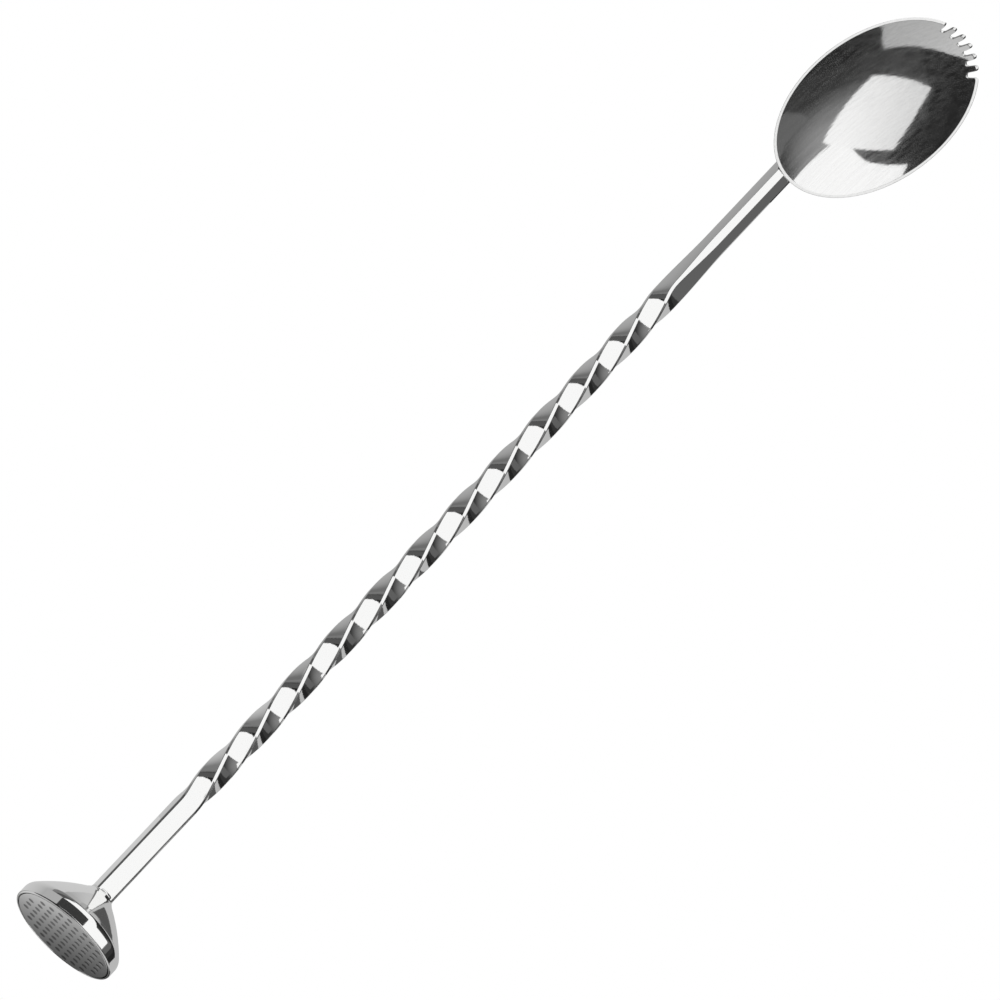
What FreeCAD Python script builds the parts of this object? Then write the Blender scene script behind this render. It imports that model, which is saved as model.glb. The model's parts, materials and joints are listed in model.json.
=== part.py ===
import FreeCAD, Part
import math
import os
import Sketcher

# Bar spoon: a twisted square stem with a serrated, tipped-up bowl at one end and a conical masher
# at the other.
#
# The pieces are drawn in the spoon's own axes: X runs along the stem from the masher's face (x = 0) to the
# bowl's tip, Y across it, and the stem's axis is y = z = 0. The bowl opens towards +Z. Every finished
# sub-part then gets the same Placement, which lays the spoon down on z = 0 with the masher's rim and the
# bowl's back touching, and puts the origin under the middle of its bounding box.

DIMENSIONS = (
    # alias, value, what it is (mm, degrees or plain numbers)
    ("overall_length", 280.0, "masher face to rim tip, along the stem"),
    ("bar_flats", 4.8, "stem across the flats, 3/16 in bar"),
    ("bar_corner", 1.0, "corner radius of the bar"),
    ("bar_chamfer", 1.15, "leg of the flattened corners near the bowl"),
    ("stem_start", 12.2, "shoulder of the bar on the cone's neck"),
    ("twist_start", 39.7, "where the twist begins"),
    ("twist_length", 158.1, "length of the twisted stretch"),
    ("twist_turns", 2.9267, "turns in the twist, left-handed"),
    ("start_angle", 12.0, "turn of a flat from +Z towards +Y at the masher"),
    ("flat_run", 9.0, "stretch over which the corners flatten"),
    ("stem_end", 241.5, "square end of the bar under the bowl, before it is cut to the bowl's back"),
    ("tenon_radius", 1.8, "round tenon at the masher end"),
    ("tenon_length", 8.0, "length of the tenon"),
    ("rim_half_length", 24.72, "bowl rim, half of its length"),
    ("rim_half_width", 17.3, "bowl rim, half of its width"),
    ("rim_tilt", 27.4, "rise of the rim's plane from the stem's line"),
    ("rim_lift", 12.35, "height of the rim's middle over the stem's axis"),
    ("bowl_depth", 7.2, "outside depth below the rim"),
    ("rim_rise", 11.5, "how far the bowl's ellipsoid has its centre over the rim"),
    ("sheet_thickness", 0.85, "pressed sheet"),
    ("notch_count", 6.0, "notches across the tip"),
    ("notch_pitch", 2.7, "notch spacing along the rim"),
    ("notch_offset", 1.0, "how far the serration's middle is off the tip, away from +Y"),
    ("notch_radius", 0.85, "round bottom of a notch"),
    ("notch_reach", 2.2, "how far a notch reaches in from the rim"),
    ("rim_radius", 12.65, "masher rim, outside"),
    ("rim_edge", 0.4, "rounding between the rim and the face"),
    ("rim_band", 1.8, "end of the rim's cylindrical band"),
    ("rim_corner", 1.0, "rounding between the band and the flank"),
    ("neck_radius", 3.1, "cone's neck"),
    ("flank_radius", 58.0, "very slight crown of the cone's flank"),
    ("plate_radius", 12.0, "face plate"),
    ("plate_thickness", 1.2, "face plate and the depth of its seat"),
    ("dimple_pitch", 2.5, "spacing of the dimples along a row"),
    ("row_pitch", 2.14, "spacing of the rows"),
    ("dimple_radius", 0.48, "dimple"),
    ("dimple_depth", 0.35, "dimple"),
    ("dimple_field", 10.6, "no dimple's middle is further out than this"),
    ("row_angle", 24.7, "turn of the rows from +Z towards +Y"),
    ("neck_bead", 0.7, "length of the weld bead at the neck"),
    ("bead_lip", 0.05, "thickness of that bead's thin end over the bar's flats"),
    ("bowl_bead", 0.45, "thickness of the weld bead at the bowl, one run on each side of the bar"),
)

SHEET = "Dimensions"
NOUGHT = "0 * overall_length"  # a length of nothing, for formulas that need a unit of the sheet
MOST_LEAN = 6.0  # degrees, more than the spoon leans when it lies down
HALVINGS = 24  # of the lean's range, which find it far more closely than any size here
CLOSE = 1e-6  # mm, for finding an edge by its place
doc = FreeCAD.newDocument("BarSpoon")
sheet = doc.addObject("Spreadsheet::Sheet", SHEET)
for row, (alias, value, note) in enumerate(DIMENSIONS, start=1):
    sheet.set(f"A{row}", note)
    sheet.set(f"B{row}", str(value))
    sheet.setAlias(f"B{row}", alias)
doc.recompute()


def size(alias):
    """A driving dimension's value, read from the sheet."""
    return float(sheet.get(alias))


def cell(formula):
    """A formula over the sheet's aliases, with each alias led by the sheet's name."""
    for alias, _, _ in sorted(DIMENSIONS, key=lambda entry: -len(entry[0])):
        formula = formula.replace(alias, f"#{alias}")
    return formula.replace("#", f"{SHEET}.")


def bind(item, **formulas):
    """Sets an object's properties from formulas over the sheet. A double underscore stands for a dot."""
    for name, formula in formulas.items():
        item.setExpression(name.replace("__", "."), cell(formula))


def new_body(name):
    body = doc.addObject("PartDesign::Body", name)
    body.Label = name
    return body


def new_sketch(body, name, role):
    """A sketch on one of the body's own origin planes."""
    sketch = body.newObject("Sketcher::SketchObject", name)
    plane = next(item for item in body.Origin.OriginFeatures if item.Role == role)
    sketch.AttachmentSupport = [(plane, "")]
    sketch.MapMode = "FlatFace"
    return sketch


def hold(sketch, kind, formula, value, *picked):
    """Adds a named size constraint, bound to a formula over the sheet."""
    index = sketch.addConstraint(Sketcher.Constraint(kind, *picked, value))
    sketch.renameConstraint(index, f"hold{index}")
    sketch.setExpression(f"Constraints.hold{index}", cell(formula))


def pin_point(sketch, geometry, end, x_formula, y_formula, x, y):
    """Places one end of a sketch line or arc by formulas, from the sketch's origin."""
    hold(sketch, "DistanceX", x_formula, x, -1, 1, geometry, end)
    hold(sketch, "DistanceY", y_formula, y, -1, 1, geometry, end)


# --- Stem -------------------------------------------------------------------------------------------------


def bar_section(body, name, x_formula, angle_formula, cut_alias, rounded):
    """The bar's section across the stem: a square whose corners are rounded or flattened.

    cut_alias names the length taken off each side at a corner: its radius, or the leg of its chamfer."""
    sketch = new_sketch(body, name, "YZ_Plane")
    bind(sketch, AttachmentOffset__Base__z=x_formula)
    # The sheet's angles turn from +Z towards +Y, which is clockwise in the sketch.
    clockwise = FreeCAD.Rotation(FreeCAD.Vector(0, 0, 1), -1)
    sketch.AttachmentOffset = FreeCAD.Placement(FreeCAD.Vector(), clockwise)
    bind(sketch, AttachmentOffset__Rotation__Angle=f"-({angle_formula})")
    cut_length = size(cut_alias)
    half = size("bar_flats") / 2
    inner = half - cut_length
    bulge = inner + cut_length * math.sqrt(0.5)
    half_formula, inner_formula = "bar_flats / 2", f"(bar_flats / 2 - {cut_alias})"
    corners = [(1, 1), (-1, 1), (-1, -1), (1, -1)]
    ends = []
    for number, (sx, sy) in enumerate(corners):
        # A corner runs anticlockwise from one side of the square to the next.
        first = (f"{half_formula} * {sx}", f"{inner_formula} * {sy}", half * sx, inner * sy)
        last = (f"{inner_formula} * {sx}", f"{half_formula} * {sy}", inner * sx, half * sy)
        if sx != sy:
            first, last = last, first
        start, end = FreeCAD.Vector(*first[2:], 0), FreeCAD.Vector(*last[2:], 0)
        if rounded:
            corner = Part.Arc(start, FreeCAD.Vector(bulge * sx, bulge * sy, 0), end)
        else:
            corner = Part.LineSegment(start, end)
        sketch.addGeometry(corner, False)
        pin_point(sketch, number, 1, *first)
        pin_point(sketch, number, 2, *last)
        if rounded:
            hold(sketch, "Radius", cut_alias, cut_length, number)
        ends.append((start, end))
    for number in range(len(corners)):
        following = (number + 1) % len(corners)
        side = Part.LineSegment(ends[number][1], ends[following][0])
        flat = sketch.addGeometry(side, False)
        sketch.addConstraint(Sketcher.Constraint("Coincident", number, 2, flat, 1))
        sketch.addConstraint(Sketcher.Constraint("Coincident", flat, 2, following, 1))
    return sketch


def make_stem_bar():
    """The bar before its end is cut to the bowl: tenon, straight, twist, flattening corners, straight."""
    body = new_body("stem_bar")
    turned = "start_angle + 360 * twist_turns"

    tenon_sketch = new_sketch(body, "TenonSketch", "YZ_Plane")
    bind(tenon_sketch, AttachmentOffset__Base__z="stem_start - tenon_length")
    radius = size("tenon_radius")
    tenon_sketch.addGeometry(Part.Circle(FreeCAD.Vector(), FreeCAD.Vector(0, 0, 1), radius), False)
    tenon_sketch.addConstraint(Sketcher.Constraint("Coincident", 0, 3, -1, 1))
    hold(tenon_sketch, "Radius", "tenon_radius", radius, 0)
    tenon = body.newObject("PartDesign::Pad", "Tenon")
    tenon.Profile = tenon_sketch
    bind(tenon, Length="tenon_length")

    lower_sketch = bar_section(body, "LowerSection", "stem_start", "start_angle", "bar_corner", True)
    lower = body.newObject("PartDesign::Pad", "LowerStraight")
    lower.Profile = lower_sketch
    bind(lower, Length="twist_start - stem_start")

    twist_sketch = bar_section(body, "TwistSection", "twist_start", "start_angle", "bar_corner", True)
    spine = new_sketch(body, "TwistSpine", "XY_Plane")
    start, end = size("twist_start"), size("twist_start") + size("twist_length")
    spine.addGeometry(Part.LineSegment(FreeCAD.Vector(start, 0, 0), FreeCAD.Vector(end, 0, 0)), False)
    pin_point(spine, 0, 1, "twist_start", NOUGHT, start, 0)
    pin_point(spine, 0, 2, "twist_start + twist_length", NOUGHT, end, 0)
    guide = doc.addObject("Part::Helix", "TwistGuide")
    guide.LocalCoord = "Left-handed"
    guide.Style = "New style"
    bind(guide, Pitch="twist_length / twist_turns", Height="twist_length", Radius="bar_flats")
    # The helix climbs its own Z, which is turned to the stem's X.
    guide.Placement = FreeCAD.Placement(FreeCAD.Vector(), FreeCAD.Rotation(FreeCAD.Vector(0, 1, 0), 90))
    bind(guide, Placement__Base__x="twist_start")
    twist = body.newObject("PartDesign::AdditivePipe", "Twist")
    twist.Profile = twist_sketch
    twist.Spine = (spine, ["Edge1"])
    twist.Mode = "Auxiliary"
    twist.AuxiliarySpine = (guide, ["Edge1"])
    twist.AuxiliaryCurvilinear = False

    round_x = "twist_start + twist_length"
    round_end = bar_section(body, "RoundSection", round_x, turned, "bar_corner", True)
    flat_x = "twist_start + twist_length + flat_run"
    flat_start = bar_section(body, "FlatSection", flat_x, turned, "bar_chamfer", False)
    flatten = body.newObject("PartDesign::AdditiveLoft", "Flatten")
    flatten.Profile = round_end
    flatten.Sections = [flat_start]

    upper_sketch = bar_section(body, "UpperSection", flat_x, turned, "bar_chamfer", False)
    upper = body.newObject("PartDesign::Pad", "UpperStraight")
    upper.Profile = upper_sketch
    bind(upper, Length=f"stem_end - ({flat_x})")
    body.Tip = upper
    return body


# --- Bowl -------------------------------------------------------------------------------------------------


def rim_frame():
    """The rim's own frame: origin at its middle, X along it towards the tip, Z out of the open side."""
    tilt = math.radians(size("rim_tilt"))
    middle = size("overall_length") - size("rim_half_length") * math.cos(tilt)
    turn = FreeCAD.Rotation(FreeCAD.Vector(0, 1, 0), -size("rim_tilt"))
    return FreeCAD.Placement(FreeCAD.Vector(middle, 0, size("rim_lift")), turn)


def ellipsoid(name, inset):
    """The bowl's full ellipsoid, taken in by inset. With no inset, the rim's plane cuts it in the rim."""
    solid = doc.addObject("Part::Ellipsoid", name)
    spread = "sqrt(1 - (rim_rise / (bowl_depth + rim_rise)) ^ 2)"
    bind(
        solid,
        Radius1=f"bowl_depth + rim_rise - {inset}",
        Radius2=f"rim_half_length / {spread} - {inset}",
        Radius3=f"rim_half_width / {spread} - {inset}",
    )
    lift = FreeCAD.Placement(FreeCAD.Vector(0, 0, size("rim_rise")), FreeCAD.Rotation())
    solid.Placement = rim_frame().multiply(lift)
    return solid


def above_rim(name):
    """A block over the whole rim's plane, for cutting away what stands above it."""
    block = doc.addObject("Part::Box", name)
    bind(block, Length="4 * rim_half_length", Width="4 * rim_half_length", Height="4 * rim_half_length")
    reach = 2 * size("rim_half_length")
    corner = FreeCAD.Placement(FreeCAD.Vector(-reach, -reach, 0), FreeCAD.Rotation())
    block.Placement = rim_frame().multiply(corner)
    return block


def cut(name, base, tool):
    result = doc.addObject("Part::Cut", name)
    result.Base, result.Tool = base, tool
    return result


def common(name, base, tool):
    result = doc.addObject("Part::Common", name)
    result.Base, result.Tool = base, tool
    return result


def notch_places():
    """Where each notch meets the rim, as angles round the rim's ellipse, evenly spaced along it."""
    count = int(size("notch_count"))
    first = -(count - 1) / 2 * size("notch_pitch") - size("notch_offset")
    return [(first + index * size("notch_pitch")) / size("rim_half_width") for index in range(count)]


def make_notch(index, angle):
    """The tools for one notch: a slot and its round bottom, square to the rim's plane."""
    half_length, half_width = size("rim_half_length"), size("rim_half_width")
    along, across = half_length * math.cos(angle), half_width * math.sin(angle)
    outward = math.degrees(math.atan2(across / half_width**2, along / half_length**2))
    turn = FreeCAD.Rotation(FreeCAD.Vector(0, 0, 1), outward)
    on_rim = rim_frame().multiply(FreeCAD.Placement(FreeCAD.Vector(along, across, 0), turn))
    slot = doc.addObject("Part::Box", f"NotchSlot{index}")
    bind(slot, Length="2 * notch_reach", Width="2 * notch_radius", Height="bowl_depth")
    bottom = doc.addObject("Part::Cylinder", f"NotchBottom{index}")
    bind(bottom, Radius="notch_radius", Height="bowl_depth")
    middle = FreeCAD.Vector(size("notch_radius") - size("notch_reach"), 0, -size("bowl_depth") / 2)
    side = middle - FreeCAD.Vector(0, size("notch_radius"), 0)
    bottom.Placement = on_rim.multiply(FreeCAD.Placement(middle, FreeCAD.Rotation()))
    slot.Placement = on_rim.multiply(FreeCAD.Placement(side, FreeCAD.Rotation()))
    return [slot, bottom]


def make_bowl(envelope):
    shell = cut("BowlShell", envelope, ellipsoid("BowlInside", "sheet_thickness"))
    open_shell = cut("BowlOpen", shell, above_rim("AboveBowl"))
    tools = []
    for index, angle in enumerate(notch_places()):
        tools += make_notch(index, angle)
    notches = doc.addObject("Part::MultiFuse", "Notches")
    notches.Shapes = tools
    return cut("bowl", open_shell, notches)


# --- Masher -----------------------------------------------------------------------------------------------


def make_masher_cone():
    """The turned cone: rim, flank and neck outside, the plate's seat and the tenon's socket inside."""
    body = new_body("masher_cone")
    sketch = new_sketch(body, "ConeSection", "XZ_Plane")
    seat, plate = size("plate_thickness"), size("plate_radius")
    band, rim = size("rim_band"), size("rim_radius")
    neck, neck_radius = size("stem_start"), size("neck_radius")
    socket, tenon = neck - size("tenon_length"), size("tenon_radius")
    # Down the seat, up over the rim, along the flank to the neck and back through the socket.
    outline = [
        ("plate_thickness", NOUGHT, seat, 0),
        ("plate_thickness", "plate_radius", seat, plate),
        (NOUGHT, "plate_radius", 0, plate),
        (NOUGHT, "rim_radius", 0, rim),
        ("rim_band", "rim_radius", band, rim),
        ("stem_start", "neck_radius", neck, neck_radius),
        ("stem_start", "tenon_radius", neck, tenon),
        ("stem_start - tenon_length", "tenon_radius", socket, tenon),
        ("stem_start - tenon_length", NOUGHT, socket, 0),
    ]
    count = len(outline)
    flank = outline.index(("rim_band", "rim_radius", band, rim))
    for index in range(count):
        start = FreeCAD.Vector(*outline[index][2:], 0)
        end = FreeCAD.Vector(*outline[(index + 1) % count][2:], 0)
        if index == flank:
            chord = end - start
            crown = size("flank_radius") - math.sqrt(size("flank_radius") ** 2 - (chord.Length / 2) ** 2)
            outward = FreeCAD.Vector(-chord.y, chord.x, 0).normalize() * crown
            sketch.addGeometry(Part.Arc(start, start + chord / 2 + outward, end), False)
        else:
            sketch.addGeometry(Part.LineSegment(start, end), False)
    # An arc's ends run anticlockwise, so the flank's start is its second end.
    first = [2 if index == flank else 1 for index in range(count)]
    last = [1 if index == flank else 2 for index in range(count)]
    for index, point in enumerate(outline):
        following = (index + 1) % count
        meeting = (index, last[index], following, first[following])
        sketch.addConstraint(Sketcher.Constraint("Coincident", *meeting))
        pin_point(sketch, index, first[index], *point)
    hold(sketch, "Radius", "flank_radius", size("flank_radius"), flank)
    turned = body.newObject("PartDesign::Revolution", "Turned")
    turned.Profile = sketch
    turned.ReferenceAxis = (sketch, ["H_Axis"])
    turned.Angle = 360
    doc.recompute()
    edge = body.newObject("PartDesign::Fillet", "RimEdge")
    edge.Base = (turned, [circle_name(turned.Shape, 0, rim)])
    bind(edge, Radius="rim_edge")
    doc.recompute()
    corner = body.newObject("PartDesign::Fillet", "RimCorner")
    corner.Base = (edge, [circle_name(edge.Shape, band, rim)])
    bind(corner, Radius="rim_corner")
    body.Tip = corner
    return body


def circle_name(shape, x, radius):
    """The name of the circular edge round the X axis at this place and radius."""
    for index, edge in enumerate(shape.Edges, start=1):
        curve = edge.Curve
        if curve.TypeId != "Part::GeomCircle":
            continue
        if abs(curve.Radius - radius) < CLOSE and abs(curve.Center.x - x) < CLOSE:
            return f"Edge{index}"
    raise ValueError(f"no circle of radius {radius} at x = {x}")


def dimple_places():
    """The middles of the dimples: rows half a pitch out of step, inside the field."""
    pitch, row_pitch = size("dimple_pitch"), size("row_pitch")
    turn = math.radians(size("row_angle"))
    field = size("dimple_field")
    places = []
    rows = int(field / row_pitch) + 1
    columns = int(field / pitch) + 1
    for row in range(-rows, rows):
        across = (row + 0.5) * row_pitch
        for column in range(-columns, columns + 1):
            along = (column + 0.5 * (row % 2)) * pitch
            if math.hypot(along, across) <= field:
                # along lies row_angle from +Z towards +Y, across is square to it.
                y = along * math.sin(turn) + across * math.cos(turn)
                z = along * math.cos(turn) - across * math.sin(turn)
                places.append((y, z))
    return places


def make_face_plate():
    body = new_body("masher_face_plate")
    disc_sketch = new_sketch(body, "DiscSketch", "YZ_Plane")
    radius = size("plate_radius")
    disc_sketch.addGeometry(Part.Circle(FreeCAD.Vector(), FreeCAD.Vector(0, 0, 1), radius), False)
    disc_sketch.addConstraint(Sketcher.Constraint("Coincident", 0, 3, -1, 1))
    hold(disc_sketch, "Radius", "plate_radius", radius, 0)
    disc = body.newObject("PartDesign::Pad", "Disc")
    disc.Profile = disc_sketch
    bind(disc, Length="plate_thickness")
    doc.recompute()

    sketch = new_sketch(body, "DimpleSketch", "YZ_Plane")
    dimple = size("dimple_radius")
    places = dimple_places()
    normal = FreeCAD.Vector(0, 0, 1)
    sketch.addGeometry([Part.Circle(FreeCAD.Vector(y, z, 0), normal, dimple) for y, z in places], False)
    for index, (y, z) in enumerate(places):
        sketch.addConstraint(Sketcher.Constraint("DistanceX", -1, 1, index, 3, y))
        sketch.addConstraint(Sketcher.Constraint("DistanceY", -1, 1, index, 3, z))
        if index:
            sketch.addConstraint(Sketcher.Constraint("Equal", 0, index))
    hold(sketch, "Radius", "dimple_radius", dimple, 0)
    dimples = body.newObject("PartDesign::Pocket", "Dimples")
    dimples.Profile = sketch
    dimples.Reversed = True
    bind(dimples, Length="dimple_depth")
    body.Tip = dimples
    doc.recompute()
    removed = disc.Shape.Volume - dimples.Shape.Volume
    expected = len(places) * math.pi * dimple**2 * size("dimple_depth")
    if not math.isclose(removed, expected, rel_tol=0.01):
        raise ValueError(f"dimples take {removed:.2f} mm3, not {expected:.2f}")
    return body


# --- Weld beads -------------------------------------------------------------------------------------------


def along_stem(x):
    """A Placement that turns a cone's or cylinder's own axis into the stem's, starting at x."""
    return FreeCAD.Placement(FreeCAD.Vector(x, 0, 0), FreeCAD.Rotation(FreeCAD.Vector(0, 1, 0), 90))


def make_neck_bead(bar):
    """A small cone round the bar where it enters the neck."""
    cone = doc.addObject("Part::Cone", "NeckCone")
    bind(cone, Radius1="neck_radius", Radius2="bar_flats / 2 + bead_lip", Height="neck_bead")
    cone.Placement = along_stem(size("stem_start"))
    return cut("neck_weld_bead", cone, bar)


def make_bowl_bead(bar, envelope):
    """A skin of weld metal on the bowl's back, close round the bar's end."""
    skin = ellipsoid("BeadSkin", "(-1) * bowl_bead")
    collar = doc.addObject("Part::Cylinder", "BeadCollar")
    bind(collar, Radius="bar_flats / 2 + bowl_bead", Height="2 * bar_flats")
    doc.recompute()
    collar.Placement = along_stem(size("stem_end") - collar.Height.Value)
    ring = common("BeadRing", collar, skin)
    around = cut("BeadAround", ring, bar)
    outside = cut("BeadOutside", around, envelope)
    return cut("bowl_weld_bead", outside, above_rim("AboveBead"))


# --- Laying the spoon down --------------------------------------------------------------------------------


def rest_placement(parts):
    """The Placement that lays the spoon on z = 0, touching at the masher's rim and under the bowl's heel."""
    bowl_end = Part.makeCompound([parts["stem"].Shape, parts["bowl"].Shape])

    def lowest(shape, lean):
        turned = shape.copy()
        turned.rotate(FreeCAD.Vector(), FreeCAD.Vector(0, 1, 0), lean)
        return turned.optimalBoundingBox(True).ZMin

    low, high = 0.0, MOST_LEAN
    for _ in range(HALVINGS):
        lean = (low + high) / 2
        if lowest(parts["masher_cone"].Shape, lean) < lowest(bowl_end, lean):
            low = lean
        else:
            high = lean
    whole = Part.makeCompound([part.Shape for part in parts.values()])
    whole.rotate(FreeCAD.Vector(), FreeCAD.Vector(0, 1, 0), lean)
    box = whole.optimalBoundingBox(True)
    shift = FreeCAD.Vector(-(box.XMin + box.XMax) / 2, -(box.YMin + box.YMax) / 2, -box.ZMin)
    print(f"lean {lean:.5f} degrees, shift {shift}")
    print(f"box {box.XLength:.2f} x {box.YLength:.2f} x {box.ZLength:.2f} mm")
    return FreeCAD.Placement(shift, FreeCAD.Rotation(FreeCAD.Vector(0, 1, 0), lean))


stem_bar = make_stem_bar()
bowl_envelope = ellipsoid("BowlEnvelope", NOUGHT)
parts = {
    "stem": cut("stem", stem_bar, bowl_envelope),
    "bowl": make_bowl(bowl_envelope),
    "bowl_weld_bead": make_bowl_bead(stem_bar, bowl_envelope),
    "masher_cone": make_masher_cone(),
    "masher_face_plate": make_face_plate(),
    "neck_weld_bead": make_neck_bead(stem_bar),
}
doc.recompute()

rest = rest_placement(parts)
for part in parts.values():
    part.Placement = rest
doc.recompute()

for item in doc.Objects:
    if "Invalid" in item.State or "Error" in item.State:
        raise ValueError(f"{item.Name} is {item.State}")
os.makedirs("parts", exist_ok=True)
for name, part in parts.items():
    part.Label = name
    shape = part.Shape
    if shape.isNull() or not shape.isValid() or not shape.Solids:
        raise ValueError(f"{name} has no valid shape")
    print(f"{name}: {len(shape.Solids)} solid, {len(shape.Faces)} faces, {shape.Volume:.1f} mm3")
    shape.exportStep(f"parts/{name}.step")
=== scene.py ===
import json
import math

import bpy
import numpy as np
from mathutils import Matrix, Vector


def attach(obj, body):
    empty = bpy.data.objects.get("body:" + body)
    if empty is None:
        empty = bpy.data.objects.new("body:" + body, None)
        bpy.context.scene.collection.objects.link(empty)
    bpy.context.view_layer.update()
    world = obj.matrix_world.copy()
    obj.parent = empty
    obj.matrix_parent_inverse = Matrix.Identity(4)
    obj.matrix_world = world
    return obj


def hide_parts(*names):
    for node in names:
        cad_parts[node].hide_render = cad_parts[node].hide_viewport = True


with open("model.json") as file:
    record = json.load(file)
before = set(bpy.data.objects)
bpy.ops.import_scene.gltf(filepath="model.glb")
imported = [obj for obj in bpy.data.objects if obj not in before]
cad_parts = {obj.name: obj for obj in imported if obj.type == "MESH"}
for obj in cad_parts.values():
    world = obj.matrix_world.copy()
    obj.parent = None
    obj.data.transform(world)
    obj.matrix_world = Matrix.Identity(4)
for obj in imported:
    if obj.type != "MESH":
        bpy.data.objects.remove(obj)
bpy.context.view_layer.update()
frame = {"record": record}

# Bar spoon: a twisted square stem, a pressed bowl with a serrated tip, and a conical masher with a
# dimpled face plate, all in polished steel.
#
# Shapes are drawn in the spoon's own axes, in millimetres: X runs along the stem from the masher's face
# (x = 0) to the bowl's tip, the stem's axis is y = z = 0, and the bowl opens towards +Z. The mount on the
# masher's face gives those axes in the row frame, where everything is turned into metres.

MM = 0.001
TINY = 1e-12

MOUNT = next(m for m in frame["record"]["mounts"] if m["name"] == "masher_face")
ORIGIN = np.array(MOUNT["pos_m"], float)
AXIS_X = -np.array(MOUNT["axis"], float)
AXIS_X /= np.linalg.norm(AXIS_X)
AXIS_Y = np.array((0.0, 1.0, 0.0))
AXIS_Z = np.cross(AXIS_X, AXIS_Y)
TURN = np.stack([AXIS_X, AXIS_Y, AXIS_Z], axis=1)
ACROSS = np.array((0.0, 1.0, 0.0))
UP = np.array((0.0, 0.0, 1.0))


def to_row(points):
    """Points in the spoon's axes, in mm, as points in the row frame, in metres."""
    return ORIGIN + MM * np.asarray(points, float) @ TURN.T


# --- Mesh helpers -----------------------------------------------------------------------------------------


def unit(vectors):
    """The vectors at length 1."""
    return vectors / np.maximum(np.linalg.norm(vectors, axis=-1, keepdims=True), TINY)


def make_piece(name, points, faces, normals, replaced, material):
    """A smooth mesh from points and normals in the spoon's axes, in place of a CAD node."""
    mesh = bpy.data.meshes.new(name)
    mesh.from_pydata(to_row(points).tolist(), [], faces)
    mesh.update()
    mesh.shade_smooth()
    if normals is not None:
        mesh.normals_split_custom_set_from_vertices((unit(normals) @ TURN.T).tolist())
    mesh.materials.append(material)
    piece = bpy.data.objects.new(name, mesh)
    bpy.context.scene.collection.objects.link(piece)
    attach(piece, "root")
    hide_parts(replaced)
    return piece


def grid_faces(rows, columns, flip=False):
    """Quads between rows of points, each row closed on itself."""
    faces = []
    for i in range(rows - 1):
        for j in range(columns):
            k = (j + 1) % columns
            quad = (i * columns + j, i * columns + k, (i + 1) * columns + k, (i + 1) * columns + j)
            faces.append(quad[::-1] if flip else quad)
    return faces


def fan_faces(hub, first, columns, flip=False):
    """Triangles from a hub point to a closed row that starts at the point first."""
    faces = []
    for j in range(columns):
        k = (j + 1) % columns
        faces.append((hub, first + k, first + j) if flip else (hub, first + j, first + k))
    return faces


def grid_normals(points):
    """Normals of a grid of points (rows, columns, 3) with closed rows, by central differences."""
    across = np.roll(points, -1, axis=1) - np.roll(points, 1, axis=1)
    along = np.gradient(points, axis=0)
    return unit(np.cross(across, along))


def ring_at(x, radius, angles):
    """A ring round the stem's axis at x, with its points at the given angles from +Z towards +Y."""
    return np.stack([np.full_like(angles, x), radius * np.sin(angles), radius * np.cos(angles)], axis=1)


def smooth_step(value, low, high):
    """0 up to low, 1 from high on, and a smooth rise between them."""
    t = np.clip((value - low) / (high - low), 0, 1)
    return t * t * (3 - 2 * t)


# --- Stem -------------------------------------------------------------------------------------------------

BAR_FLATS = 4.8
STEM_FROM = 12.0
TWIST_FROM, TWIST_TO = 39.7, 197.8
TWIST_TURNS = 2.9267
TWIST_EASE = 4.0
START_ANGLE = 12.0
# The bar's faces are slightly crowned and its corners are chamfered. Each pair has the value on the twist and
# then the value nearer the bowl, where the bar is flatter: the radius between a face and a chamfer, half the
# size across two chamfers, and the angle that half of a face's arc takes up, in degrees.
ROUND_CORNER, FLAT_CORNER = 0.4, 0.22
ROUND_DIAGONAL, FLAT_DIAGONAL = 2.97, 2.53
ROUND_CROWN, FLAT_CROWN = 3.0, 2.0
FLATTEN_FROM, FLATTEN_TO = 198.0, 214.0
SECTION_FACE, SECTION_ARC = 9, 6
STEM_STRAIGHT_TO = 231.0
STEM_STEP = 0.4
# The bar's end is cut down in a rounded nose to NOSE_LEVEL, and from there follows the bowl's back, a little
# way into the sheet. From UNDER_FROM its underside closes up towards UNDER_LEVEL.
NOSE_FROM, NOSE_TO = 234.3, 235.95
NOSE_LEVEL, NOSE_DROP = 0.9, 2.1
NOSE_OVERLAP = 0.2
INTO_SHEET = 0.08
UNDER_FROM, STEM_TO = 238.5, 241.4
UNDER_LEVEL, UNDER_CLOSING = 0.5, 0.98
PLAIN_ROWS, NOSE_ROWS, BACK_ROWS = 8, 14, 30
# A level under the whole bowl, from which its back is looked for, and the distance where there is none.
BELOW = -10.0
NO_BACK = 1000.0
# The step that slopes are measured over, and the most that a point moves without counting as cut down.
SLOPE_STEP = 0.01
UNCUT = 1e-6


def turn_at(x):
    """The bar's turn at x, from +Z towards +Y, in degrees, with an eased start and end to the twist."""
    rate = 360 * TWIST_TURNS / (TWIST_TO - TWIST_FROM)
    half = TWIST_EASE / 2

    def ramp(t):
        # A bend with a parabola from -half to half, then a straight line of slope 1.
        inside = np.clip(t + half, 0, 2 * half)
        return inside**2 / (4 * half) + np.maximum(t - half, 0)

    return START_ANGLE + rate * (ramp(x - TWIST_FROM) - ramp(x - TWIST_TO))


def toward(angle):
    """The direction at an angle, as (x, y) on a circle of radius 1."""
    return np.array((math.cos(angle), math.sin(angle)))


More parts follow.
